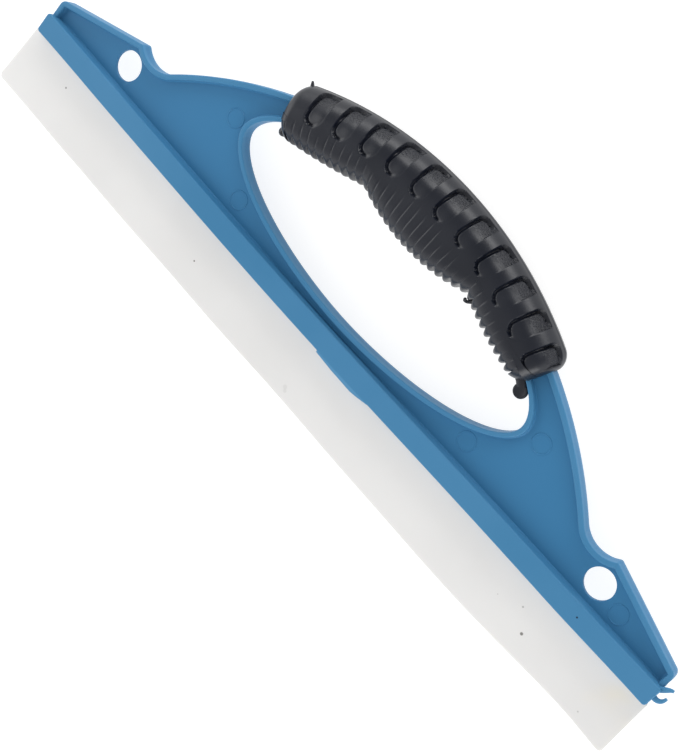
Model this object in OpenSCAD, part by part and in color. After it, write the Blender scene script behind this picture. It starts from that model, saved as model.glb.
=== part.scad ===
// Hand squeegee for window glass: a moulded D-handle frame with a rubber grip sleeve, and a
// silicone blade whose bead slides in a keyhole channel along the frame's bar.
//
// Inside the modules X runs along the blade, Y from the wiping edge to the handle, and Z is the
// thickness. Y = 0 is the bar's mouth, where the blade comes out, and Z = 0 is the middle of the
// moulding. place() then moves everything, so that the finished part lies on Z = 0 with its
// origin below the middle of its bounding box.

/* [Bar] */
// Length of the bar and of the frame
frame_len = 300; // [280:1:320]
// Height of the bar, from its mouth to its upper side
bar_h = 7.6; // [7.2:0.1:8.4]
// Thickness of the bar, front to back
bar_t = 9.8; // [9:0.1:12]
// Length of the solid wall that closes the channel's left end
channel_wall = 1.6; // [1:0.1:3]

/* [Frame] */
// Thickness of the flat web
web_t = 1.5; // [1.2:0.1:2.5]
// Thickness of the raised rims, front to back
rim_t = 5.6; // [4.5:0.1:7]
// Width of the raised rims
rim_w = 2; // [1.6:0.1:2.4]
// Radius of the handle's outer edge
arch_r = 150; // [148:0.5:152]
// Height of the handle's outer edge above the bar's mouth
arch_top = 63; // [62:0.1:64]
// Radius of the hollow between the handle and each wing
hollow_r = 11; // [10:0.1:12]
// Height of the bottom of that hollow
hollow_y = 21.8; // [21:0.1:22.5]
// Height of the wing at its outer end
wing_end_y = 13.7; // [12.5:0.1:15]
// Slope of the wing's edge in degrees
wing_slope = 17.3; // [16:0.1:18]
// Radius of the wing's outer corner
wing_corner = 2.4; // [1:0.1:3]

/* [Finger hole] */
// Half the length of the finger hole
loop_a = 65.9; // [60:0.1:67]
// Height of its widest line
loop_y = 31.2; // [31:0.1:32]
// Depth of the hole below its widest line
loop_low = 21; // [19:0.1:21.2]
// Depth of the hole above its widest line
loop_high = 24; // [22:0.1:24.5]

/* [Hanging holes] */
// Distance of each hanging hole from the middle of the frame
hang_x = 115.6; // [114:0.1:118]
// Height of the hanging holes
hang_y = 15; // [14:0.1:15.6]
// Radius of the hanging holes
hang_r = 5.25; // [4:0.05:5.5]

/* [Grip] */
// Thickness of the rubber outside the handle, on its palm side
grip_out = 6.8; // [5:0.1:8]
// Radial depth of the sleeve
grip_depth = 21.8; // [20:0.1:24]
// Thickness of the sleeve, front to back
grip_t = 21; // [18:0.1:24]
// Radius of the sleeve's rounded edges
grip_round = 8.4; // [6:0.1:8.8]
// Half the angle that the sleeve covers, in degrees
grip_half_angle = 24; // [22:0.1:24.5]
// How far the swelling between the fingers stands out
swell_h = 5; // [3:0.1:6]
// Radius of the swelling's outline
swell_r = 69; // [60:1:80]
// Half the angle that the swelling is swept through, in degrees
swell_half_angle = 17; // [12:1:18]
// Number of thumb recesses along each face
recess_n = 11; // [7:1:11]
// Angle from one recess to the next, in degrees
recess_pitch = 4.1; // [4:0.05:4.2]
// Angle by which the row of recesses sits nearer the right end, in degrees
recess_shift = 1.8; // [0:0.1:1.9]
// Width of one recess
recess_w = 5.8; // [4:0.1:6]
// Depth of one recess
recess_d = 0.9; // [0.5:0.1:1.2]
// Distance from the sleeve's middle line to the round end of each recess
recess_low = 0; // [-1:0.1:1]

/* [Blade] */
// Length of the wiping lip
lip_len = 305; // [300:0.5:308]
// How far the blade sits to the left of the frame's middle
lip_shift = 1.1; // [0:0.1:1.5]
// Height of the blade below the bar's mouth
lip_h = 23.2; // [20:0.1:26]
// Thickness of the lip at the bar
lip_t = 2.4; // [2:0.1:2.6]
// Thickness of the lip at the wiping edge
edge_t = 1.7; // [1.2:0.1:2]
// Radius of the lip's outer corners
lip_corner = 1.4; // [0.5:0.1:3]
// Radius of the blade's bead
bead_r = 2.2; // [1.9:0.05:2.3]
// Thickness of the neck between bead and lip
neck_t = 2.2; // [1.8:0.1:2.4]
// Gap between the blade and the channel around it
slide_gap = 0.3; // [0.2:0.05:0.35]

/* [Hidden] */
$fn = 96;

half_len = frame_len / 2;
arch_y = arch_top - arch_r;
hollow_cy = hollow_y + hollow_r;
hollow_cx = sqrt(pow(arch_r + hollow_r, 2) - pow(hollow_cy - arch_y, 2));
grip_r_out = arch_r + grip_out;
grip_r_mid = grip_r_out - grip_depth / 2;
swell_low = arch_y + grip_r_out - grip_depth - swell_h;
swell_cy = swell_low + swell_r;
bead_y = 3.7;
neck_y = -0.3;
flex_y = neck_y - slide_gap - lip_t / 2;
centre_y = (arch_y + grip_r_out - lip_h) / 2;
over = 0.5;

// The sleeve's ends step down over these angles and by these insets, in degrees and millimetres.
end_angles = [1.6, 0.7, 0];
end_insets = [recess_d, 1, 2];

lug_start = 2.3;
lug_flat_end = 19.4;
lug_end = 26;
lug_drop = 1.3;
barb_t = 1.3;

// Moves a piece from the working frame to the finished part's frame.
module place() {
    translate([0, -centre_y, grip_t / 2]) children();
}

module both_sides() {
    children();
    mirror([1, 0, 0]) children();
}

// Plate of the given thickness, centred on the moulding's middle plane.
module slab(t) {
    translate([0, 0, -t / 2]) linear_extrude(t) children();
}

// Turns an outline drawn in (Y, Z) into a bar along X between two ends.
module along_x(x0, x1) {
    translate([x0, 0, 0]) rotate([90, 0, 90]) linear_extrude(x1 - x0) children();
}

function wing_y(x, inset) =
    wing_end_y + (half_len - x) * tan(wing_slope) - inset / cos(wing_slope);

function arc_points(cx, cy, r, from, to, steps) =
    [for (k = [0:steps]) let (a = from + (to - from) * k / steps) [cx + r * cos(a), cy + r * sin(a)]];

// Right half of the frame's outer outline, moved inwards by an inset: the end, its rounded corner,
// the wing's slope, the hollow, then the handle's arch up to its top.
function half_outline(inset) = let (
    x_end = half_len - inset,
    r_corner = max(wing_corner - inset, 0.3),
    r = hollow_r + inset,
    line_drop = (hollow_cy - wing_y(hollow_cx, inset)) * cos(wing_slope),
    corner_angle = acos(line_drop / r) - 90 - wing_slope,
    join_angle = atan2(hollow_cy - arch_y, hollow_cx)
) concat(
    [[x_end, 0]],
    arc_points(
        x_end - r_corner, wing_y(x_end - r_corner, inset + r_corner), r_corner,
        0, 90 - wing_slope, 4
    ),
    arc_points(hollow_cx, hollow_cy, r, corner_angle, join_angle - 180, 8),
    arc_points(0, arch_y, arch_r - inset, join_angle + 2, 90, 18)
);

function mirrored(points) = [for (k = [len(points) - 2:-1:0]) [-points[k][0], points[k][1]]];

module outline(inset = 0) {
    right = half_outline(inset);
    polygon(concat(right, mirrored(right)));
}

// Finger hole: a slightly pinched oval, deeper above its widest line than below it.
module finger_hole(grow = 0) {
    power = 2 / 1.9;
    polygon([for (k = [0:71]) let (
        a = k * 5,
        b = grow + (sin(a) > 0 ? loop_high : loop_low)
    ) [
        (loop_a + grow) * sign(cos(a)) * pow(abs(cos(a)), power),
        loop_y + b * sign(sin(a)) * pow(abs(sin(a)), power)
    ]]);
}

// Flat web with a raised rim round its outer edge and round the finger hole, on both faces.
module body_plate() {
    difference() {
        slab(rim_t) outline();
        for (side = [-1, 1])
            translate([0, 0, side * (web_t + rim_t) / 2]) slab(rim_t) difference() {
                outline(rim_w);
                finger_hole(rim_w);
            }
    }
}

// Small stop under the front lip of the bar, square on its left and tapered on its right.
module mouth_lug() {
    z0 = neck_t / 2 + slide_gap;
    translate([0, 0, z0]) linear_extrude(bar_t / 2 - z0) polygon([
        [lug_start, over],
        [lug_start, -lug_drop],
        [lug_flat_end, -lug_drop],
        [lug_end, 0],
        [lug_end, over]
    ]);
}

module channel() {
    x0 = -half_len + channel_wall;
    along_x(x0, half_len + over) {
        translate([bead_y, 0]) circle(bead_r + slide_gap);
        translate([-over, -neck_t / 2 - slide_gap])
            square([bead_y + over, neck_t + 2 * slide_gap]);
    }
}

module bar() {
    along_x(-half_len, half_len) translate([0, -bar_t / 2]) square([bar_h, bar_t]);
}

// Two short curled barbs above the channel's open end.
module end_barbs() {
    translate([half_len - over, bar_h + 0.2, 0]) {
        slab(barb_t) rotate(38) square([4.8, 1.2]);
        slab(barb_t) polygon([[0, 0.4], [1.4, -1.2], [3, -1.3], [4.1, 0.5], [2.8, -0.2], [1.6, 0]]);
    }
}

module hang_holes() {
    both_sides() translate([hang_x, hang_y, -rim_t]) cylinder(h = 2 * rim_t, r = hang_r);
}

module frame() {
    color("steelblue") place() difference() {
        union() {
            body_plate();
            bar();
            mouth_lug();
            end_barbs();
        }
        slab(2 * rim_t) finger_hole();
        hang_holes();
        channel();
    }
}

// Section of the grip sleeve: a square with rounded edges, smaller by an inset all round.
module grip_section(r, inset) {
    w = grip_depth - 2 * inset;
    h = grip_t - 2 * inset;
    c = grip_round;
    translate([r, 0]) {
        square([w - 2 * c, h], center = true);
        square([w, h - 2 * c], center = true);
        for (i = [-1, 1], j = [-1, 1])
            translate([i * (w / 2 - c), j * (h / 2 - c)]) circle(c);
    }
}

// Sweeps the grip's section along the handle, over the given half angle.
module sleeve_sweep(half_angle, inset) {
    translate([0, arch_y, 0]) rotate(90 - half_angle)
        rotate_extrude(angle = 2 * half_angle) grip_section(grip_r_mid, inset);
}

module swelling(inset) {
    translate([0, swell_cy, 0]) rotate(270 - swell_half_angle)
        rotate_extrude(angle = 2 * swell_half_angle)
            grip_section(swell_r - grip_depth / 2, inset);
}

// Cuts that are round at their inner end and reach the spine along the palm side, which stays.
module recess_cutters() {
    r_low = grip_r_mid + recess_low + recess_w / 2;
    r_high = grip_r_out - recess_d - 0.1;
    for (k = [0:recess_n - 1])
        translate([0, arch_y, -grip_t])
            rotate(90 - recess_shift - (k - (recess_n - 1) / 2) * recess_pitch) {
                translate([r_low, 0, 0]) cylinder(h = 2 * grip_t, r = recess_w / 2);
                translate([r_low, -recess_w / 2, 0])
                    cube([r_high - r_low, recess_w, 2 * grip_t]);
            }
}

module sleeve() {
    difference() {
        union() {
            sleeve_sweep(grip_half_angle - end_angles[0], 0);
            swelling(0);
        }
        recess_cutters();
    }
    for (k = [0:len(end_angles) - 1])
        sleeve_sweep(grip_half_angle - end_angles[k], end_insets[k]);
    swelling(recess_d);
}

module grip() {
    color("#36373e") place() difference() {
        sleeve();
        slab(rim_t) difference() {
            outline();
            finger_hole();
        }
    }
}

module blade_bead() {
    x0 = -half_len + channel_wall + slide_gap;
    color("gainsboro") place() along_x(x0, half_len - slide_gap) {
        translate([bead_y, 0]) circle(bead_r);
        translate([neck_y, -neck_t / 2]) square([bead_y - neck_y, neck_t]);
    }
}

// Outline of the lip seen from the front, with its two outer corners rounded.
module lip_outline() {
    x0 = -lip_len / 2 - lip_shift;
    x1 = lip_len / 2 - lip_shift;
    translate([x0, -lip_h + lip_corner]) square([lip_len, lip_h]);
    translate([x0 + lip_corner, -lip_h]) square([lip_len - 2 * lip_corner, lip_h]);
    for (x = [x0 + lip_corner, x1 - lip_corner])
        translate([x, -lip_h + lip_corner]) circle(lip_corner);
}

module blade_lip() {
    color("gainsboro") place() intersection() {
        along_x(-frame_len, frame_len) {
            translate([flex_y, 0]) circle(lip_t / 2);
            polygon([
                [flex_y, -lip_t / 2],
                [flex_y, lip_t / 2],
                [-lip_h, edge_t / 2],
                [-lip_h, -edge_t / 2]
            ]);
        }
        slab(bar_t) lip_outline();
    }
}

frame();
grip();
blade_bead();
blade_lip();
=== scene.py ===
"""Hand squeegee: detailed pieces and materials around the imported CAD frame.

Shapes are drawn in millimetres in the drawing frame: X along the blade, Y from the bar's mouth
(Y = 0) to the handle, Z from the middle of the moulding (Z = 0) out of the front. to_row() then
brings a finished mesh to the CAD row frame in metres.
"""

import math

import bmesh
import bpy
import numpy as np
from mathutils import Matrix, Vector


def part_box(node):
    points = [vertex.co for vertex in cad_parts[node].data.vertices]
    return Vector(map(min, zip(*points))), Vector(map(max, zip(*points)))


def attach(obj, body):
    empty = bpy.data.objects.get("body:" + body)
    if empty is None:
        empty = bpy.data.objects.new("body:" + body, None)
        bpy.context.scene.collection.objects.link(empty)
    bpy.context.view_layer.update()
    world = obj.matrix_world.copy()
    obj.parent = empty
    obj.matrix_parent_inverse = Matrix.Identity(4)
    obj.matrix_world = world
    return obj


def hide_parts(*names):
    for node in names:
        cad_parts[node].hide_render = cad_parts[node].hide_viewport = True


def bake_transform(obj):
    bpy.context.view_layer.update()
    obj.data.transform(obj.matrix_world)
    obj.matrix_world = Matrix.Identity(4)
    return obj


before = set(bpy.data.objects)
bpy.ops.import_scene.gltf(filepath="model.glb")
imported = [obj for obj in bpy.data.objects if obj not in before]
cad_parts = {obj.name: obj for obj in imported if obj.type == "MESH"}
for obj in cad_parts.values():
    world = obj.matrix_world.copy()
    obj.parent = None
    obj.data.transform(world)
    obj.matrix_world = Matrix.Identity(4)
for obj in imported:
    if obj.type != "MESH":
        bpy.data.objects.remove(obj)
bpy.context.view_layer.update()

MM = 0.001

# ---------------------------------------------------------------- driving sizes, in mm
HALF_LEN = 150.0
BAR_H = 7.6
BAR_T = 9.8
CHANNEL_WALL = 1.6

ARCH_R = 150.0
ARCH_TOP = 63.0
ARCH_Y = ARCH_TOP - ARCH_R
HOLLOW_R = 11.0
HOLLOW_Y = 21.8
WING_END_Y = 13.7
WING_SLOPE = math.radians(17.3)
WING_CORNER = 2.4
PEAK_CORNER = 1.1
PLATE_LOW = 6.9
# The real bar has set into a shallow bow towards the blade. CAD keeps it straight, for the slide.
BOW = 1.45
BOW_MIDDLE = -20.0
BOW_REACH = 130.0
BAR_LIFT_LEFT = 0.5
BAR_LIFT_RIGHT = 0.8
WING_LIFT_LEFT = 0.6
WING_LIFT_RIGHT = 0.1
BAR_EXTRA = 0.3
# Where the lifts of the bar's ends and of the wings' corners begin, from the middle.
BAR_LIFT_FROM = 105.0
WING_LIFT_FROM = 122.0
BAR_PLAN_R = 1.1
BAR_EDGE_R = 0.5
FOOT_R = 0.35
FOOT_INTO_BAR = 0.4
FOOT_END_GAP = 1.2
MIN_CORNER = 0.12

LOOP_A = 65.9
LOOP_Y = 31.2
LOOP_LOW = 21.0
LOOP_HIGH = 22.9
LOOP_POWER = 2 / 1.9

HANG_X = 115.6
HANG_Y = 15.0
HANG_R = 5.25

# Half section of a raised rim: distance inwards from its edge, height above the middle plane.
RIM_SECTION = [
    (0.00, 0.00),
    (0.06, 2.35),
    (0.16, 2.62),
    (0.38, 2.76),
    (0.65, 2.80),
    (1.45, 2.80),
    (1.70, 2.74),
    (1.88, 2.58),
    (1.96, 2.35),
    (2.04, 1.30),
    (2.16, 1.00),
    (2.40, 0.82),
    (2.70, 0.75),
]
WEB_Z = 0.75

BEAD_Y = 3.7
BEAD_R = 2.2
NECK_T = 2.2
SLIDE_GAP = 0.3

LIP_HALF_LEN = 152.5
LIP_SHIFT = 1.1
LIP_H = 23.2
LIP_T = 2.4
EDGE_T = 1.7
LIP_TOP = -0.55
LIP_CORNER = 1.5
LIP_STEPS = 150
LIP_EDGE_R = 0.35

GRIP_R_OUT = 156.6
GRIP_R_LEFT = 134.5
GRIP_R_RIGHT = 135.05
LOBE_LEFT = math.radians(-15.6)
LOBE_RIGHT = math.radians(16.5)
# How fast the finger side and the palm side draw in, in mm per square degree.
LOBE_RISE_LEFT = 0.033
LOBE_RISE_RIGHT = 0.048
PALM_TAPER = 0.0027
GRIP_HALF_T = 10.5
GRIP_ROUND = 8.4
GRIP_LEFT = math.radians(-23.35)
GRIP_RIGHT = math.radians(24)
SHOULDER_DEPTH = 12.5
SWELL_R = 69.0
SWELL_LOW = 130.0
SWELL_ANGLE = math.radians(0.45)
SWELL_BLEND = 0.8

frame_low, frame_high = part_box("frame")
MOUTH_Y = frame_high.y / MM - ARCH_TOP
MIDDLE_Z = (frame_low.z + frame_high.z) / 2 / MM


# ---------------------------------------------------------------- mesh helpers
def smoothstep(low, high, value):
    t = np.clip((value - low) / (high - low), 0, 1)
    return t * t * (3 - 2 * t)


def bow(x):
    """How far the bar's line lies below the CAD's straight one; its two ends lie above it."""
    share = min(max((x - BOW_MIDDLE) / BOW_REACH, -1), 1)
    lift = BAR_LIFT_LEFT if x < 0 else BAR_LIFT_RIGHT
    lift *= float(smoothstep(BAR_LIFT_FROM, HALF_LEN, abs(x)))
    return BOW * math.cos(math.pi / 2 * share) ** 2 - lift


def add_object(name, verts, faces):
    mesh = bpy.data.meshes.new(name)
    mesh.from_pydata([tuple(v) for v in verts], [], faces)
    bm = bmesh.new()
    bm.from_mesh(mesh)
    bmesh.ops.recalc_face_normals(bm, faces=bm.faces)
    bm.to_mesh(mesh)
    bm.free()
    obj = bpy.data.objects.new(name, mesh)
    bpy.context.scene.collection.objects.link(obj)
    return obj


def apply_modifiers(obj):
    depsgraph = bpy.context.evaluated_depsgraph_get()
    mesh = bpy.data.meshes.new_from_object(obj.evaluated_get(depsgraph))
    old = obj.data
    obj.modifiers.clear()
    obj.data = mesh
    bpy.data.meshes.remove(old)


def combine(base, tools, operation):
    for tool in tools:
        modifier = base.modifiers.new("combine", "BOOLEAN")
        modifier.object = tool
        modifier.operation = operation
        modifier.solver = "MANIFOLD"
        apply_modifiers(base)
        bpy.data.objects.remove(tool)
    return base


def loft(rings):
    """Quads between closed rings that all have the same number of points."""
    n = len(rings[0])
    faces = []
    for k in range(len(rings) - 1):
        for i in range(n):
            j = (i + 1) % n
            faces.append((k * n + i, k * n + j, (k + 1) * n + j, (k + 1) * n + i))
    return faces


def capped_loft(name, rings):
    n = len(rings[0])
    faces = loft(rings)
    last = (len(rings) - 1) * n
    faces.append(tuple(range(n)))
    faces.append(tuple(range(last, last + n)))
    return add_object(name, [p for ring in rings for p in ring], faces)


def prism(name, outline, z0, z1):
    """An outline in (x, y) extruded from z0 to z1."""
    return capped_loft(name, [[(x, y, z) for x, y in outline] for z in (z0, z1)])


def along_x(name, section, x0, x1, steps=60):
    """A section in (y, z) swept along X on the bar's bowed line."""
    rings = []
    for k in range(steps + 1):
        x = x0 + (x1 - x0) * k / steps
        rings.append([(x, y - bow(x), z) for y, z in section])
    return capped_loft(name, rings)


def arc(cx, cy, r, start, end, steps):
    angles = [start + (end - start) * k / steps for k in range(steps + 1)]
    return [(cx + r * math.cos(a), cy + r * math.sin(a)) for a in angles]


def lathe(name, profile, place, steps=32):
    """A closed solid turned about its own Z axis from (radius, height) points, then placed."""
    rings = []
    for k in range(steps):
        a = 2 * math.pi * k / steps
        rings.append([(r * math.cos(a), r * math.sin(a), z) for r, z in profile])
    n = len(profile)
    faces = []
    for k in range(steps):
        for i in range(n):
            a, b = k * n, ((k + 1) % steps) * n
            j = (i + 1) % n
            faces.append((a + i, a + j, b + j, b + i))
    obj = add_object(name, [p for ring in rings for p in ring], faces)
    bm = bmesh.new()
    bm.from_mesh(obj.data)
    bmesh.ops.remove_doubles(bm, verts=bm.verts, dist=1e-4)
    bmesh.ops.transform(bm, matrix=place, verts=bm.verts)
    bmesh.ops.recalc_face_normals(bm, faces=bm.faces)
    bm.to_mesh(obj.data)
    bm.free()
    return obj


def ball_profile(r, steps=10):
    angles = [-math.pi / 2 + math.pi * k / steps for k in range(steps + 1)]
    return [(max(r * math.cos(a), 0), r * math.sin(a)) for a in angles]


def swept_tube(name, path, radii, sides=12, flatten=1.0):
    """A closed tapering tube along points; flatten squeezes it in Z."""
    rings = []
    for k, (p, r) in enumerate(zip(path, radii)):
        before = Vector(path[max(k - 1, 0)])
        after = Vector(path[min(k + 1, len(path) - 1)])
        along = (after - before).normalized()
        side = along.cross(Vector((0, 0, 1))).normalized()
        up = side.cross(along).normalized()
        ring = []
        for i in range(sides):
            a = 2 * math.pi * i / sides
            ring.append(Vector(p) + side * r * math.cos(a) + up * r * flatten * math.sin(a))
        rings.append(ring)
    return capped_loft(name, rings)


def bezier(points, steps):
    """Points along the Bezier curve of the control points, from the first to the last."""
    result = []
    for k in range(steps + 1):
        t = k / steps
        level = [Vector(p) for p in points]
        while len(level) > 1:
            level = [a.lerp(b, t) for a, b in zip(level, level[1:])]
        result.append(level[0])
    return result


def curved_tube(name, points, steps, radii, sides, flatten=1.0):
    """A swept tube along the Bezier curve of the control points."""
    path = [tuple(p) for p in bezier(points, steps)]
    return swept_tube(name, path, radii, sides, flatten)


def to_row(obj):
    """From the drawing frame in mm to the CAD row frame in metres."""
    place = Matrix.Translation((0, MOUTH_Y * MM, MIDDLE_Z * MM)) @ Matrix.Scale(MM, 4)
    obj.data.transform(place)


def finish_mesh(obj, sharp_angle, material):
    """Merges doubles, marks sharp edges, smooths the rest and assigns the material."""
    bm = bmesh.new()
    bm.from_mesh(obj.data)
    bmesh.ops.remove_doubles(bm, verts=bm.verts, dist=5e-6)
    bmesh.ops.dissolve_degenerate(bm, edges=bm.edges, dist=2e-6)
    bmesh.ops.recalc_face_normals(bm, faces=bm.faces)
    for face in bm.faces:
        face.smooth = True
    for edge in bm.edges:
        edge.smooth = edge.calc_face_angle(0) < sharp_angle
    bm.to_mesh(obj.data)
    bm.free()
    obj.data.materials.clear()
    obj.data.materials.append(material)
    weighted = obj.modifiers.new("weighted_normals", "WEIGHTED_NORMAL")
    weighted.mode = "FACE_AREA"
    weighted.keep_sharp = True
    apply_modifiers(obj)


# ---------------------------------------------------------------- materials
def colour(r, g, b):
    return (r, g, b, 1.0)


FRAME_DARK = colour(0.043, 0.175, 0.329)
FRAME_LIGHT = colour(0.054, 0.193, 0.354)
# Painted shade: the web between the bar and the rims is coloured darker than the raised parts,
# standing in for the shade it lies in.
FRAME_WEB_SHADE = colour(0.034, 0.160, 0.321)
# Partly wear, partly a painted highlight: a lighter colour for the convex edges of the raised
# parts.
FRAME_WEAR_AND_HIGHLIGHT = colour(0.13, 0.32, 0.52)
FRAME_SPECK = colour(0.01, 0.015, 0.03)
RUBBER_DARK = colour(0.0036, 0.0052, 0.0108)
RUBBER_LIGHT = colour(0.0054, 0.0073, 0.0138)
SILICONE_DARK = colour(0.666, 0.661, 0.653)
SILICONE_LIGHT = colour(0.696, 0.691, 0.683)
SILICONE_STAIN = colour(0.72, 0.66, 0.52)
SILICONE_DIRT = colour(0.12, 0.11, 0.10)
FLOOR_GREY = colour(0.38, 0.38, 0.38)
WHITE = colour(1.0, 1.0, 1.0)


def start_material(name):
    material = bpy.data.materials.new(name)
    material.use_nodes = True
    nodes = material.node_tree.nodes
    links = material.node_tree.links
    shader = nodes["Principled BSDF"]
    coords = nodes.new("ShaderNodeTexCoord")
    return material, nodes, links, shader, coords.outputs["Object"]


def noise(nodes, links, where, scale, detail=3.0, rough=0.5):
    node = nodes.new("ShaderNodeTexNoise")
    node.inputs["Scale"].default_value = scale
    node.inputs["Detail"].default_value = detail
    node.inputs["Roughness"].default_value = rough
    links.new(where, node.inputs["Vector"])
    return node.outputs["Fac"]


def ramp(nodes, links, value, low, high, out_low=0.0, out_high=1.0):
    node = nodes.new("ShaderNodeMapRange")
    node.interpolation_type = "SMOOTHSTEP"
    node.inputs["From Min"].default_value = low
    node.inputs["From Max"].default_value = high
    node.inputs["To Min"].default_value = out_low
    node.inputs["To Max"].default_value = out_high
    links.new(value, node.inputs["Value"])
    return node.outputs["Result"]


def mix(nodes, links, share, first, second):
    node = nodes.new("ShaderNodeMix")
    node.data_type = "RGBA"
    links.new(share, node.inputs["Factor"])
    for socket, value in ((node.inputs["A"], first), (node.inputs["B"], second)):
        if isinstance(value, tuple):
            socket.default_value = value
        else:
            links.new(value, socket)
    return node.outputs["Result"]


def maths(nodes, links, operation, *values):
    node = nodes.new("ShaderNodeMath")
    node.operation = operation
    for socket, value in zip(node.inputs, values):
        if isinstance(value, (int, float)):
            socket.default_value = value
        else:
            links.new(value, socket)
    return node.outputs[0]


def bump(nodes, links, height, strength, distance, below=None):
    node = nodes.new("ShaderNodeBump")
    node.inputs["Strength"].default_value = strength
    node.inputs["Distance"].default_value = distance
    links.new(height, node.inputs["Height"])
    if below is not None:
        links.new(below, node.inputs["Normal"])
    return node.outputs["Normal"]


def near_point(nodes, links, where, point, radius):
    """1 close to a point in the row frame, falling smoothly to 0 at radius."""
    node = nodes.new("ShaderNodeVectorMath")
    node.operation = "DISTANCE"
    links.new(where, node.inputs[0])
    node.inputs[1].default_value = point
    return ramp(nodes, links, node.outputs["Value"], radius, 0.6 * radius)


def row_point(x, y, z):
    return (x * MM, (y + MOUTH_Y) * MM, (z + MIDDLE_Z) * MM)


def frame_plastic():
    """Satin moulded plastic: fine grain, faint flow marks, painted shade that darkens the sunken
    web, and lighter worn edges that also paint the edges' highlight.
    """
    material, nodes, links, shader, where = start_material("frame_plastic")
    cloudy = noise(nodes, links, where, 22, 4)
    flow = noise(nodes, links, where, 90, 3, 0.6)
    grain = noise(nodes, links, where, 2600, 2)
    patches = ramp(nodes, links, cloudy, 0.3, 0.7)
    base = mix(nodes, links, patches, FRAME_DARK, FRAME_LIGHT)
    parts = nodes.new("ShaderNodeSeparateXYZ")
    links.new(where, parts.inputs["Vector"])
    height = maths(nodes, links, "SUBTRACT", parts.outputs["Z"], MIDDLE_Z * MM)
    depth = maths(nodes, links, "ABSOLUTE", height)
    # Painted shade: the colour darkens towards the web near the middle plane, where the shade
    # lies.
    sunk = ramp(nodes, links, depth, 0.0014, 0.0008, 0.0, 0.8)
    base = mix(nodes, links, sunk, base, FRAME_WEB_SHADE)
    geometry = nodes.new("ShaderNodeNewGeometry")
    # Worn edges and painted highlight: convex edges of the raised parts are lightened.
    edge = ramp(nodes, links, geometry.outputs["Pointiness"], 0.52, 0.60, 0.0, 0.35)
    raised = ramp(nodes, links, depth, 0.0015, 0.0022)
    edge = maths(nodes, links, "MULTIPLY", edge, raised)
    base = mix(nodes, links, edge, base, FRAME_WEAR_AND_HIGHLIGHT)
    speck = near_point(nodes, links, where, row_point(118.5, 4.05, BAR_T / 2), 0.00038)
    base = mix(nodes, links, speck, base, FRAME_SPECK)
    links.new(base, shader.inputs["Base Color"])
    links.new(ramp(nodes, links, flow, 0.25, 0.75, 0.36, 0.46), shader.inputs["Roughness"])
    shader.inputs["Specular IOR Level"].default_value = 0.16
    fine = bump(nodes, links, grain, 0.12, 0.00008)
    links.new(bump(nodes, links, flow, 0.10, 0.0004, fine), shader.inputs["Normal"])
    return material


def grip_rubber():
    """Black moulded rubber: satin, with a fine grain and porous recess floors."""
    material, nodes, links, shader, where = start_material("grip_rubber")
    cloudy = noise(nodes, links, where, 60, 4)
    grain = noise(nodes, links, where, 3000, 3, 0.6)
    pores = noise(nodes, links, where, 1400, 3, 0.6)
    mask = nodes.new("ShaderNodeAttribute")
    mask.attribute_name = "recess"
    patches = ramp(nodes, links, cloudy, 0.3, 0.7)
    base = mix(nodes, links, patches, RUBBER_DARK, RUBBER_LIGHT)
    links.new(base, shader.inputs["Base Color"])
    links.new(ramp(nodes, links, cloudy, 0.25, 0.75, 0.28, 0.38), shader.inputs["Roughness"])
    shader.inputs["Specular IOR Level"].default_value = 0.42
    fine = bump(nodes, links, grain, 0.18, 0.00008)
    rough_floor = maths(nodes, links, "MULTIPLY", pores, mask.outputs["Fac"])
    links.new(bump(nodes, links, rough_floor, 1.0, 0.0006, fine), shader.inputs["Normal"])
    return material


# Dirt on the blade, through both faces: x, y and radius in mm, and strength.
SPECKS = [
    (-129.8, -7.5, 0.45, 0.75),
    (-51.8, -14.5, 0.4, 0.9),
    (110.7, -14.9, 0.66, 0.85),
    (105.1, -8.5, 0.4, 0.5),
    (97.0, -12.0, 0.25, 0.35),
    (1.2, -20.0, 1.0, 0.12),
    (2.0, -21.0, 0.8, 0.12),
    (139.0, -18.0, 0.35, 0.35),
]


def blade_silicone():
    """Milky silicone, slightly translucent, with a yellowed right end and a few dirt specks."""
    material, nodes, links, shader, where = start_material("blade_silicone")
    cloudy = noise(nodes, links, where, 25, 3)
    grain = noise(nodes, links, where, 1500, 3)
    patches = ramp(nodes, links, cloudy, 0.3, 0.7)
    base = mix(nodes, links, patches, SILICONE_DARK, SILICONE_LIGHT)
    stain = near_point(nodes, links, where, row_point(150.0, -12.5, 0), 0.016)
    stain = maths(nodes, links, "MULTIPLY", stain, ramp(nodes, links, cloudy, 0.35, 0.7))
    base = mix(nodes, links, stain, base, SILICONE_STAIN)
    flat = nodes.new("ShaderNodeVectorMath")
    flat.operation = "MULTIPLY"
    links.new(where, flat.inputs[0])
    flat.inputs[1].default_value = (1, 1, 0)
    for x, y, radius, strength in SPECKS:
        place = row_point(x, y, -MIDDLE_Z)
        speck = near_point(nodes, links, flat.outputs["Vector"], place, radius * MM)
        speck = maths(nodes, links, "MULTIPLY", speck, strength)
        base = mix(nodes, links, speck, base, SILICONE_DIRT)
    links.new(base, shader.inputs["Base Color"])
    links.new(ramp(nodes, links, cloudy, 0.25, 0.75, 0.42, 0.55), shader.inputs["Roughness"])
    shader.inputs["Subsurface Weight"].default_value = 0.25
    shader.inputs["Subsurface Radius"].default_value = (1.0, 0.95, 0.9)
    shader.inputs["Subsurface Scale"].default_value = 0.0015
    shader.inputs["Specular IOR Level"].default_value = 0.4
    fine = bump(nodes, links, grain, 0.08, 0.0001)
    links.new(bump(nodes, links, cloudy, 0.15, 0.002, fine), shader.inputs["Normal"])
    return material


# ---------------------------------------------------------------- frame moulding
def wing_y(x, inset):
    return WING_END_Y + (HALF_LEN - x) * math.tan(WING_SLOPE) - inset / math.cos(WING_SLOPE)


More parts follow.
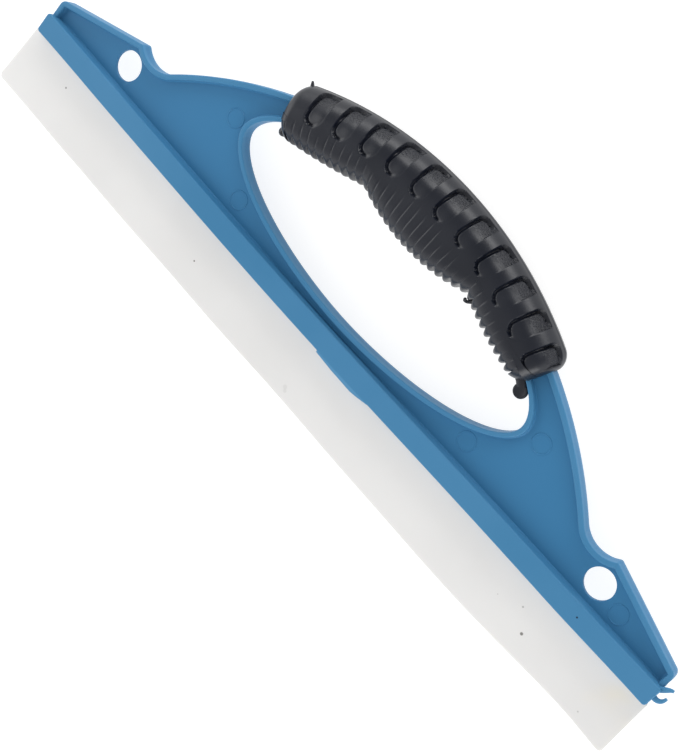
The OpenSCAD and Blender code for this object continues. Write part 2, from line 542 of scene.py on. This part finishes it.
def rounded_corner(before, corner, after, radius, steps):
    """An arc of the given radius in place of a corner between two straight runs."""
    a = (Vector(before) - Vector(corner)).normalized()
    b = (Vector(after) - Vector(corner)).normalized()
    half = a.angle(b) / 2
    centre = Vector(corner) + (a + b).normalized() * radius / math.sin(half)
    start = Vector(corner) + a * radius / math.tan(half) - centre
    end = Vector(corner) + b * radius / math.tan(half) - centre
    points = []
    for k in range(steps + 1):
        direction = start.lerp(end, k / steps).normalized()
        points.append(tuple(centre + direction * radius))
    return points


def half_outline(inset):
    """Right half of the outer outline moved inwards by inset, from the bar to the arch's top."""
    hollow_cy = HOLLOW_Y + HOLLOW_R
    hollow_cx = math.sqrt((ARCH_R + HOLLOW_R) ** 2 - (hollow_cy - ARCH_Y) ** 2)
    r = HOLLOW_R + inset
    line_drop = (hollow_cy - wing_y(hollow_cx, inset)) * math.cos(WING_SLOPE)
    corner_angle = math.acos(line_drop / r) - math.pi / 2 - WING_SLOPE
    join_angle = math.atan2(hollow_cy - ARCH_Y, hollow_cx)
    x_end = HALF_LEN - inset
    bottom = (x_end, PLATE_LOW)
    low_xs = [x_end * k / 30 for k in range(30)]
    end = (x_end, wing_y(x_end, inset))
    hollow = arc(hollow_cx, hollow_cy, r, corner_angle, join_angle - math.pi, 24)
    past_join = join_angle + 0.02
    arch = arc(0, ARCH_Y, ARCH_R - inset, past_join, math.pi / 2, 60)
    outer = rounded_corner(bottom, end, hollow[0], max(WING_CORNER - inset, MIN_CORNER), 8)
    peak = rounded_corner(end, hollow[0], hollow[2], max(PEAK_CORNER - inset, MIN_CORNER), 6)
    return low_xs, [bottom] + outer + peak + hollow[3:] + arch


def outline_ring(inset, z):
    """The whole outer outline moved inwards by inset, with the wings' corners lifted."""
    low_xs, right = half_outline(inset)
    left = [(-x, y) for x, y in reversed(right[:-1])]
    low = [-x for x in reversed(low_xs[1:])] + low_xs
    bottom = [(x, PLATE_LOW - bow(x)) for x in low]
    raised = []
    for x, y in right + left:
        lift = WING_LIFT_LEFT if x < 0 else WING_LIFT_RIGHT
        lift *= float(smoothstep(WING_LIFT_FROM, HALF_LEN, abs(x)))
        raised.append((x, y + lift))
    return [(x, y, z) for x, y in raised + bottom]


def loop_ring(grow, z):
    """The finger hole's outline moved outwards by grow."""
    points = []
    for k in range(180):
        a = 2 * math.pi * k / 180
        c, s = math.cos(a), math.sin(a)
        b = grow + (LOOP_HIGH if s > 0 else LOOP_LOW)
        x = (LOOP_A + grow) * math.copysign(abs(c) ** LOOP_POWER, c)
        y = LOOP_Y + b * math.copysign(abs(s) ** LOOP_POWER, s)
        points.append((x, y, z))
    return points


def both_faces(section):
    """The half section mirrored about the middle plane, from the back web to the front web."""
    return [(d, -z) for d, z in reversed(section[1:])] + section


def slab_with_hole(name, outer, inner):
    """A closed solid between stacked outer rings and stacked inner rings, filled on both faces."""
    verts = [p for ring in outer + inner for p in ring]
    start = len(outer) * len(outer[0])
    faces = loft(outer) + [tuple(start + i for i in f) for f in loft(inner)]
    obj = add_object(name, verts, faces)
    bm = bmesh.new()
    bm.from_mesh(obj.data)
    bmesh.ops.remove_doubles(bm, verts=bm.verts, dist=0.01)
    for side in (-1, 1):
        open_edges = [
            e for e in bm.edges
            if e.is_boundary and all(side * v.co.z > 0 for v in e.verts)
        ]
        bmesh.ops.triangle_fill(bm, edges=open_edges, use_beauty=True)
    bmesh.ops.recalc_face_normals(bm, faces=bm.faces)
    bm.to_mesh(obj.data)
    bm.free()
    return obj


def body_plate():
    section = both_faces(RIM_SECTION)
    outer = [outline_ring(d, z) for d, z in section]
    inner = [loop_ring(d, z) for d, z in section]
    return slab_with_hole("frame_body", outer, inner)


def rounded_box(name, low, high, plan_radius, edge_radius):
    """A bowed bar whose upright edges have one radius and whose other edges a smaller one."""
    (x0, y0, z0), (x1, y1, z1) = low, high
    outline = [(x0, y0), (x1, y0), (x1, y1), (x0, y1)]
    rounded = []
    for k in range(4):
        before, after = outline[k - 1], outline[(k + 1) % 4]
        rounded += rounded_corner(before, outline[k], after, plan_radius, 6)
        start, end = Vector(rounded[-1]), Vector(after)
        if k in (0, 2):
            steps = 60
            rounded += [tuple(start.lerp(end, (j + 0.5) / (steps + 1))) for j in range(steps)]
    rounded = [(x, y - bow(x)) for x, y in rounded]

    def inset_ring(inset, z):
        ring = []
        n = len(rounded)
        for i in range(n):
            a, b = Vector(rounded[i - 1]), Vector(rounded[(i + 1) % n])
            normal = Vector((b.y - a.y, a.x - b.x)).normalized()
            p = Vector(rounded[i]) - normal * inset
            ring.append((p.x, p.y, z))
        return ring

    quarter = [math.pi / 2 * k / 4 for k in range(5)]
    rings = []
    for a in quarter:
        inset = edge_radius * (1 - math.sin(a))
        rings.append(inset_ring(inset, z0 + edge_radius * (1 - math.cos(a))))
    for a in reversed(quarter):
        inset = edge_radius * (1 - math.sin(a))
        rings.append(inset_ring(inset, z1 - edge_radius * (1 - math.cos(a))))
    return capped_loft(name, rings)


# The lug under the bar's front lip, in (x, y) from the bar's line: steep at its left end, and
# running out gently at its right.
LUG = [
    (2.3, 1.5),
    (2.3, -0.45),
    (10.0, -0.95),
    (19.4, -1.15),
    (22.0, -0.8),
    (26.5, 0.05),
    (27.0, 1.5),
]
LUG_FRONT_GAP = 0.03


def bar_parts():
    """The bar, a small fillet where each face of the web meets it, and the lug."""
    end = HALF_LEN + BAR_EXTRA
    low = (-end, 0, -BAR_T / 2)
    high = (end, BAR_H, BAR_T / 2)
    parts = [rounded_box("bar", low, high, BAR_PLAN_R, BAR_EDGE_R)]
    foot_end = HALF_LEN - FOOT_END_GAP
    inside_web = 0.5
    r = FOOT_R
    for side in (-1, 1):
        fillet = arc(BAR_H + r, side * (WEB_Z + r), r, side * math.pi / -2, -math.pi * side, 6)
        section = [(BAR_H - FOOT_INTO_BAR, side * inside_web), (BAR_H + r, side * inside_web)]
        section += fillet
        section += [(BAR_H - FOOT_INTO_BAR, side * (WEB_Z + r))]
        parts.append(along_x("foot", section, -foot_end, foot_end))
    lug = [(x, y - bow(x)) for x, y in LUG]
    parts.append(prism("lug", lug, NECK_T / 2 + SLIDE_GAP, BAR_T / 2 - LUG_FRONT_GAP))
    return parts


def channel_cutter():
    """The keyhole channel, open at the bar's mouth and at its right end."""
    half = NECK_T / 2 + SLIDE_GAP
    r = BEAD_R + SLIDE_GAP
    join = math.asin(half / r)
    section = arc(BEAD_Y, 0, r, -math.pi + join, math.pi - join, 40)
    below_mouth = -3.0
    section += [(below_mouth, half), (below_mouth, -half)]
    return along_x("channel", section, -HALF_LEN + CHANNEL_WALL, HALF_LEN + 1)


# Places of the ejector pins' marks on the web, in (x, y).
EJECTOR_MARKS = [(73.7, 31.5), (125.9, 12.9), (-53.3, 11.9), (-72.4, 30.5), (56.7, 14.2)]
MARK_R = 3.2
MARK_WIDTH = 0.20
MARK_HEIGHT = 0.12


def ejector_marks():
    """Thin raised rings that ejector pins leave on the web's front face."""
    into_web = -0.1
    profile = [
        (MARK_R - MARK_WIDTH, into_web),
        (MARK_R - MARK_WIDTH, 0.0),
        (MARK_R - MARK_WIDTH / 2, MARK_HEIGHT),
        (MARK_R + MARK_WIDTH / 2, MARK_HEIGHT),
        (MARK_R + MARK_WIDTH, 0.0),
        (MARK_R + MARK_WIDTH, into_web),
    ]
    marks = []
    for x, y in EJECTOR_MARKS:
        place = Matrix.Translation((x, y, WEB_Z))
        marks.append(lathe("mark", profile, place, 48))
    return marks


def hang_hole_cutters():
    """Holes with a slightly rounded rim on each face."""
    lead = 0.12
    halfway = 0.04
    outside = 4
    profile = [
        (0, -outside),
        (HANG_R + lead, -outside),
        (HANG_R + lead, -WEB_Z - 0.001),
        (HANG_R + halfway, -WEB_Z + halfway),
        (HANG_R, -WEB_Z + lead),
        (HANG_R, WEB_Z - lead),
        (HANG_R + halfway, WEB_Z - halfway),
        (HANG_R + lead, WEB_Z + 0.001),
        (HANG_R + lead, outside),
        (0, outside),
    ]
    return [
        lathe("hole", profile, Matrix.Translation((side * HANG_X, HANG_Y, 0)), 72)
        for side in (-1, 1)
    ]


# Control points of the barbs' centre lines.
BARB_UPPER = [(149.0, 7.0, 3.0), (151.0, 8.6, 3.2), (151.6, 10.2, 3.3), (152.9, 10.5, 3.3)]
BARB_LOWER = [(149.2, 5.0, 3.5), (151.2, 4.2, 3.6), (153.0, 5.0, 3.6), (153.0, 7.4, 3.6)]
BARB_R = 1.05
BARB_TAPER = 0.55
BARB_FLATTEN = 0.8


def end_barbs():
    """Two curled moulding tags at the open end of the channel."""
    parts = []
    for name, points, steps in (("barb_upper", BARB_UPPER, 10), ("barb_lower", BARB_LOWER, 12)):
        radii = [BARB_R * (1 - BARB_TAPER * (k / steps) ** 1.5) for k in range(steps + 1)]
        parts.append(curved_tube(name, points, steps, radii, 12, BARB_FLATTEN))
    return parts


def build_frame():
    body = body_plate()
    combine(body, bar_parts() + ejector_marks() + end_barbs(), "UNION")
    combine(body, [channel_cutter()] + hang_hole_cutters(), "DIFFERENCE")
    body.name = "frame_moulding"
    to_row(body)
    finish_mesh(body, math.radians(32), frame_plastic())
    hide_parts("frame")
    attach(body, "handle")
    return body


# ---------------------------------------------------------------- grip sleeve
RECESS_COUNT = 11
RECESS_PITCH = math.radians(4.1)
RECESS_SHIFT = math.radians(1.8)
RECESS_HALF_WIDTH = 3.5
RECESS_TOP = 2.2
RECESS_BOTTOM = 16.9
RECESS_CORNER = 3.0
RECESS_FLOOR = 0.95
RECESS_GROOVE = 1.15
RIB_COUNT = 35
RIB_FIRST = math.radians(-21.55)
RIB_PITCH = math.radians(1.27)
KNOB_DEEP = 2.1
LINE_DEEP = 0.16
RIB_REACH = (14.5, 18.5)
GRIP_COLUMNS = 640
# Radius at which lengths along the sleeve are counted.
GRIP_MIDDLE_R = 146
# Rounding of each end of the sleeve, at its faces and at its palm side.
END_LEFT = (3.4, 4.6)
END_RIGHT = (6.0, 5.0)
SEAM_HEIGHT = 0.2
SEAM_WIDTH = 0.45
SEAM_FADE = 4


def swell_radius(angle):
    """Inner radius of the sleeve: the finger swelling between two shallow lobes."""
    centre = SWELL_LOW + SWELL_R
    turned = angle - SWELL_ANGLE
    inside = SWELL_R**2 - (centre * math.sin(turned)) ** 2
    out_of_reach = 200.0
    swell = centre * math.cos(turned) - math.sqrt(inside) if inside > 0 else out_of_reach
    if angle < 0:
        plain = GRIP_R_LEFT + LOBE_RISE_LEFT * math.degrees(angle - LOBE_LEFT) ** 2
    else:
        plain = GRIP_R_RIGHT + LOBE_RISE_RIGHT * math.degrees(angle - LOBE_RIGHT) ** 2
    h = min(max(0.5 + 0.5 * (plain - swell) / SWELL_BLEND, 0), 1)
    return plain * (1 - h) + swell * h - SWELL_BLEND * h * (1 - h)


def grip_section(r_in, r_out):
    """Points round the sleeve's section: (r, z, normal r, normal z, inner arc, outer arc)."""
    c = GRIP_ROUND
    flat_z = GRIP_HALF_T - c
    shoulder = r_out - SHOULDER_DEPTH
    half = [(r_in, flat_z * k / 4, -1.0, 0.0) for k in range(4)]
    for k in range(32):
        a = math.pi / 2 * k / 32
        r, z = r_in + c - c * math.cos(a), flat_z + c * math.sin(a)
        half.append((r, z, -math.cos(a), math.sin(a)))
    for k in range(10):
        half.append((r_in + c + (shoulder - r_in - c) * k / 10, GRIP_HALF_T, 0.0, 1.0))
    for k in range(47):
        a = math.pi / 2 * k / 46
        nr, nz = math.sin(a) / SHOULDER_DEPTH, math.cos(a) / GRIP_HALF_T
        size = math.hypot(nr, nz)
        r, z = shoulder + SHOULDER_DEPTH * math.sin(a), GRIP_HALF_T * math.cos(a)
        half.append((r, z, nr / size, nz / size))
    arcs = [0.0]
    for before, after in zip(half, half[1:]):
        arcs.append(arcs[-1] + math.hypot(after[0] - before[0], after[1] - before[1]))
    front = [(*p, a, arcs[-1] - a) for p, a in zip(half, arcs)]
    back = [(r, -z, nr, -nz, i, o) for r, z, nr, nz, i, o in reversed(front[1:-1])]
    return front + back


def recess_depth(angle, r, down):
    """Depth of the thumb recesses at a point and how far inside one it is, from 0 to 1.

    down is the arc from the spine. A groove runs round a recess's left flank, and its floor
    rises almost to the sleeve's face towards the lower right.
    """
    first = RECESS_SHIFT - (RECESS_COUNT - 1) / 2 * RECESS_PITCH
    index = round((angle - first) / RECESS_PITCH)
    if index < 0 or index >= RECESS_COUNT:
        return 0.0, 0.0
    across = r * (angle - first - index * RECESS_PITCH)
    middle = RECESS_BOTTOM - RECESS_HALF_WIDTH
    left = across + RECESS_HALF_WIDTH - RECESS_CORNER
    upper = down - RECESS_TOP - RECESS_CORNER
    if down > middle:
        inside = RECESS_HALF_WIDTH - math.hypot(across, down - middle)
    elif left < 0 and upper < 0:
        inside = RECESS_CORNER - math.hypot(left, upper)
    else:
        inside = min(RECESS_HALF_WIDTH - abs(across), down - RECESS_TOP)
    share = across / RECESS_HALF_WIDTH
    flush = float(smoothstep(5.0, 12.5, down))
    floor = RECESS_FLOOR * (1 - flush * (0.45 + 0.5 * float(smoothstep(-0.6, 0.9, share))))
    groove = RECESS_GROOVE * (1 - float(smoothstep(0.55, 1.5, inside)))
    groove *= (1 - float(smoothstep(-0.1, 0.6, share))) * (1 - 0.45 * flush)
    edge = float(smoothstep(0, 0.4, inside))
    return (floor + groove) * edge, edge * (1 - float(smoothstep(6.0, 10.0, down)))


def rib_depth(angle, arc_in, reaches, fullness):
    """Depth of the grooves between the finger ribs: round inside, thin lines on the faces."""
    share = (angle - RIB_FIRST) / RIB_PITCH + 0.5
    index = int(math.floor(share))
    if index < 0 or index >= RIB_COUNT:
        return 0.0
    off = abs(share - index - 0.5)
    knob = 1 - math.sqrt(max(1 - (off / 0.40) ** 2, 0))
    line = float(smoothstep(0.36, 0.46, off))
    near = 1 - float(smoothstep(4.5, 11.0, arc_in))
    reach = reaches[index] + fullness
    fade = 1 - float(smoothstep(reach - 6.0, reach, arc_in))
    return KNOB_DEEP * near * knob + LINE_DEEP * (1 - near) * line * fade


def end_inset(distance, nr, side_radius, palm_radius):
    """How far the section shrinks near a rounded end of the sleeve."""
    radius = side_radius + (palm_radius - side_radius) * max(nr, 0)
    if distance >= radius:
        return 0.0
    return radius - math.sqrt(max(radius**2 - (radius - distance) ** 2, 0))


def grip_solid():
    """The sleeve as rings round its section, and each point's share inside a recess."""
    rng = np.random.default_rng(7)
    reaches = rng.uniform(*RIB_REACH, RIB_COUNT)
    rings = []
    recess = []
    for i in range(GRIP_COLUMNS + 1):
        angle = GRIP_LEFT + (GRIP_RIGHT - GRIP_LEFT) * i / GRIP_COLUMNS
        r_in = swell_radius(angle)
        section = grip_section(r_in, GRIP_R_OUT - PALM_TAPER * math.degrees(angle) ** 2)
        fullness = max(GRIP_R_RIGHT - r_in, 0)
        from_left = (angle - GRIP_LEFT) * GRIP_MIDDLE_R
        from_right = (GRIP_RIGHT - angle) * GRIP_MIDDLE_R
        seam = SEAM_HEIGHT * min(from_left / SEAM_FADE, from_right / SEAM_FADE, 1)
        ring = []
        for r, z, nr, nz, arc_in, arc_out in section:
            sunk, inside = recess_depth(angle, r, arc_out)
            out = -sunk - rib_depth(angle, arc_in, reaches, fullness)
            out -= end_inset(from_left, nr, *END_LEFT)
            out -= end_inset(from_right, nr, *END_RIGHT)
            out += seam * math.exp(-((arc_out / SEAM_WIDTH) ** 2))
            rr = r + nr * out
            ring.append((rr * math.sin(angle), ARCH_Y + rr * math.cos(angle), z + nz * out))
            recess.append(inside)
        rings.append(ring)
    obj = capped_loft("grip_body", rings)
    return obj, recess


def arm_core():
    """The part of the frame's handle that runs through the sleeve, as a cutter."""
    grow = 0.02
    top = 2.82
    outer = [outline_ring(-grow, z) for z in (-top, top)]
    inner = [loop_ring(-grow, z) for z in (-top, top)]
    return slab_with_hole("core", outer, inner)


def grip_tags():
    """Small moulding left-overs: a point, a round nub, a teardrop tab and a curl of flash."""
    thorn = [(-57.2, 54.4, 0.0), (-58.6, 56.2, 0.0), (-59.8, 57.6, 0.0)]
    point = curved_tube("point", thorn, 6, [1.7, 1.35, 1.05, 0.8, 0.62, 0.5, 0.32], 14)
    nub = lathe("nub", ball_profile(1.6), Matrix.Translation((-55.7, 39.6, 2.0)), 24)
    rim = 0.45
    r = 2.55
    profile = [(0, -0.55), (r - rim, -0.55)]
    for k in range(1, 10):
        a = math.pi * k / 10
        profile.append((r - rim + rim * math.sin(a), -0.72 * math.cos(a)))
    profile += [(r - rim, 0.72), (r - 2 * rim, 0.55), (0, 0.35)]
    tab = lathe("tab", profile, Matrix.Translation((57.7, 38.0, 0.3)), 36)
    stem = [(54.4, 41.6, 0), (56.0, 40.8, 0.2), (57.2, 39.0, 0.3)]
    neck = curved_tube("neck", stem, 6, [2.4, 2.3, 2.2, 2.1, 2.0, 1.9, 1.7], 14, 0.7)
    hook = [(28.8, 47.4, 4.4), (27.2, 45.3, 4.6), (26.1, 46.2, 5.0), (27.0, 46.9, 5.2)]
    curl = curved_tube("curl", hook, 8, [0.75] + [0.55] * 7 + [0.3], 10)
    return [point, nub, neck, tab, curl]


def build_grip():
    body, recess = grip_solid()
    attribute = body.data.attributes.new("recess", "FLOAT", "POINT")
    attribute.data.foreach_set("value", recess)
    combine(body, grip_tags(), "UNION")
    combine(body, [arm_core()], "DIFFERENCE")
    body.name = "grip_sleeve"
    to_row(body)
    finish_mesh(body, math.radians(50), grip_rubber())
    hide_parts("grip")
    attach(body, "handle")
    return body


# ---------------------------------------------------------------- blade
def lip_rows():
    """Heights of the rows down the lip, in mm from the mouth, finer where it bends."""
    rows = [LIP_TOP, -0.7, -0.9]
    rows += [-1.1 - 0.2 * k for k in range(10)]
    rows += [-3.5 - 1.2 * k for k in range(16)]
    return rows


def lip_edge(x):
    """Height of the wiping edge.

    It is a little wavy. It sags in the middle with the bar, drops at the far left end, and rises
    towards the right end before it drops again.
    """
    wave = 0.16 * math.sin(x * 0.043 + 0.6) + 0.10 * math.sin(x * 0.117 + 2.0)
    right = 1.8 * float(smoothstep(92, 136, x)) - 0.65 * float(smoothstep(136, 152, x))
    right -= 0.35 * float(smoothstep(10, 50, x))
    sag = 1.5 * float(smoothstep(-155, -115, x)) * (1 - float(smoothstep(25, 140, x)))
    left = -0.75 * float(smoothstep(-125, -153, x))
    return -LIP_H + 0.27 + wave + right + left - sag


def lip_half_t(y):
    share = min(max((-y - 1.8) / (LIP_H - 1.8), 0), 1)
    return LIP_T / 2 + (EDGE_T - LIP_T) / 2 * share


def lip_section(x, corner):
    """Section of the lip in (y, z) at x; corner shortens it near the outer corners."""
    edge = lip_edge(x) + corner
    top = LIP_TOP - bow(x)
    scale = (edge - top) / (-LIP_H - LIP_TOP)
    front = []
    for row in lip_rows():
        y = top + (row - LIP_TOP) * scale
        front.append((y, lip_half_t(row)))
    front[0] = (front[0][0], front[0][1] - 0.35)
    front[1] = (front[1][0], front[1][1] - 0.12)
    half = EDGE_T / 2
    r = LIP_EDGE_R
    front += [(edge + r, half), (edge + 0.12, half - 0.1), (edge, half - r), (edge, 0.25)]
    return front + [(y, -z) for y, z in reversed(front)]


def end_slant(x, y):
    """How far the slanted cut at an end of the lip lies from a square one."""
    share = min(max(-y / LIP_H, 0), 1)
    left = float(smoothstep(-130, -153.6, x)) * (0.9 - 2.0 * share)
    right = float(smoothstep(130, 151.4, x)) * (1.4 * share - 0.6)
    return left + right


def build_blade():
    left = -LIP_HALF_LEN - LIP_SHIFT
    right = LIP_HALF_LEN - LIP_SHIFT
    radius = LIP_CORNER
    stations = [radius * (1 - math.cos(math.pi / 2 * k / 8)) for k in range(9)]
    middle = right - left - 2 * radius
    xs = [left + s for s in stations]
    xs += [left + radius + middle * k / LIP_STEPS for k in range(1, LIP_STEPS)]
    xs += [right - s for s in reversed(stations)]
    rings = []
    for x in xs:
        from_end = min(x - left, right - x)
        corner = 0.0
        if from_end < radius:
            corner = radius - math.sqrt(max(radius**2 - (radius - from_end) ** 2, 0))
        rings.append([(x + end_slant(x, y), y, z) for y, z in lip_section(x, corner)])
    lip = capped_loft("lip", rings)

    neck = NECK_T / 2
    narrow = neck - 0.05
    join = math.asin(neck / BEAD_R)
    section = arc(BEAD_Y, 0, BEAD_R, -math.pi + join, math.pi - join, 36)
    section += [(-0.3, neck), (-0.9, narrow), (-0.9, -narrow), (-0.3, -neck)]
    x0 = -HALF_LEN + CHANNEL_WALL + SLIDE_GAP
    bead = along_x("bead", section, x0, HALF_LEN - SLIDE_GAP)
    combine(lip, [bead], "UNION")
    lip.name = "blade_strip"
    to_row(lip)
    finish_mesh(lip, math.radians(40), blade_silicone())
    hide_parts("blade_bead", "blade_lip")
    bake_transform(lip)
    return lip


# ---------------------------------------------------------------- stage, light, camera
def build_stage():
    """A plain pale floor, just under the object so that the two don't share a plane."""
    mesh = bpy.data.meshes.new("floor")
    size = 3.0
    low = -0.0003
    corners = [(-size, -size, low), (size, -size, low), (size, size, low), (-size, size, low)]
    mesh.from_pydata(corners, [], [(0, 1, 2, 3)])
    floor = bpy.data.objects.new("floor", mesh)
    bpy.context.scene.collection.objects.link(floor)
    material = bpy.data.materials.new("floor_white")
    material.use_nodes = True
    shader = material.node_tree.nodes["Principled BSDF"]
    shader.inputs["Base Color"].default_value = FLOOR_GREY
    shader.inputs["Roughness"].default_value = 0.9
    shader.inputs["Specular IOR Level"].default_value = 0.0
    shader.inputs["Emission Color"].default_value = WHITE
    shader.inputs["Emission Strength"].default_value = 0.80
    mesh.materials.append(material)


def area_light(name, place, width, height, power):
    """A soft rectangular lamp that points at the origin."""
    data = bpy.data.lights.new(name, "AREA")
    data.shape = "RECTANGLE"
    data.size = width
    data.size_y = height
    data.energy = power
    obj = bpy.data.objects.new(name, data)
    obj.location = place
    towards = -Vector(place)
    obj.rotation_euler = towards.to_track_quat("-Z", "Y").to_euler()
    bpy.context.scene.collection.objects.link(obj)


def build_light():
    """A white room with three soft lamps.

    It is brighter near the horizon than overhead, and dimmer high up behind the handle.
    """
    world = bpy.data.worlds.new("studio")
    world.use_nodes = True
    nodes, links = world.node_tree.nodes, world.node_tree.links
    where = nodes.new("ShaderNodeTexCoord").outputs["Generated"]
    parts = nodes.new("ShaderNodeSeparateXYZ")
    links.new(where, parts.inputs["Vector"])
    level = ramp(nodes, links, parts.outputs["Z"], 0.05, 0.80, 1.60, 0.74)
    dim = ramp(nodes, links, parts.outputs["Y"], 0.0, 0.8, 0.0, 0.55)
    dim = maths(nodes, links, "MULTIPLY", dim, ramp(nodes, links, parts.outputs["Z"], 0.06, 0.22))
    level = maths(nodes, links, "MULTIPLY", level, maths(nodes, links, "SUBTRACT", 1.0, dim))
    background = nodes["Background"]
    background.inputs["Color"].default_value = WHITE
    links.new(level, background.inputs["Strength"])
    bpy.context.scene.world = world
    area_light("palm_strip", (-0.2, 0.95, 0.28), 1.4, 0.30, 6.5)
    area_light("left_key", (-0.95, -0.25, 0.60), 1.1, 0.8, 4.5)
    area_light("right_strip", (0.90, -0.55, 0.40), 1.0, 0.6, 6.0)
    bpy.context.scene.view_settings.view_transform = "Standard"


# The photograph's camera, in metres: its place, a point it looks at, and its turn about that line.
CAMERA_PLACE = (0.1348, 0.1567, 0.4416)
CAMERA_AIM = (0.01215, -0.02667, 0.0105)
CAMERA_ROLL = math.radians(100.97)
CAMERA_LENS = 72.18


def build_camera():
    data = bpy.data.cameras.new("camera")
    data.lens = CAMERA_LENS
    data.sensor_width = 36.0
    data.clip_start = 0.01
    data.clip_end = 20.0
    camera = bpy.data.objects.new("camera", data)
    camera.location = CAMERA_PLACE
    back = (Vector(CAMERA_PLACE) - Vector(CAMERA_AIM)).normalized()
    upright = (Vector((0, 0, 1)) - back * back.z).normalized()
    side = upright.cross(back)
    up = upright * math.cos(CAMERA_ROLL) + side * math.sin(CAMERA_ROLL)
    right = up.cross(back)
    turn = Matrix((right, up, back)).transposed()
    camera.rotation_euler = turn.to_euler()
    bpy.context.scene.collection.objects.link(camera)
    bpy.context.scene.camera = camera


build_frame()
build_grip()
build_blade()
build_stage()
build_light()
build_camera()
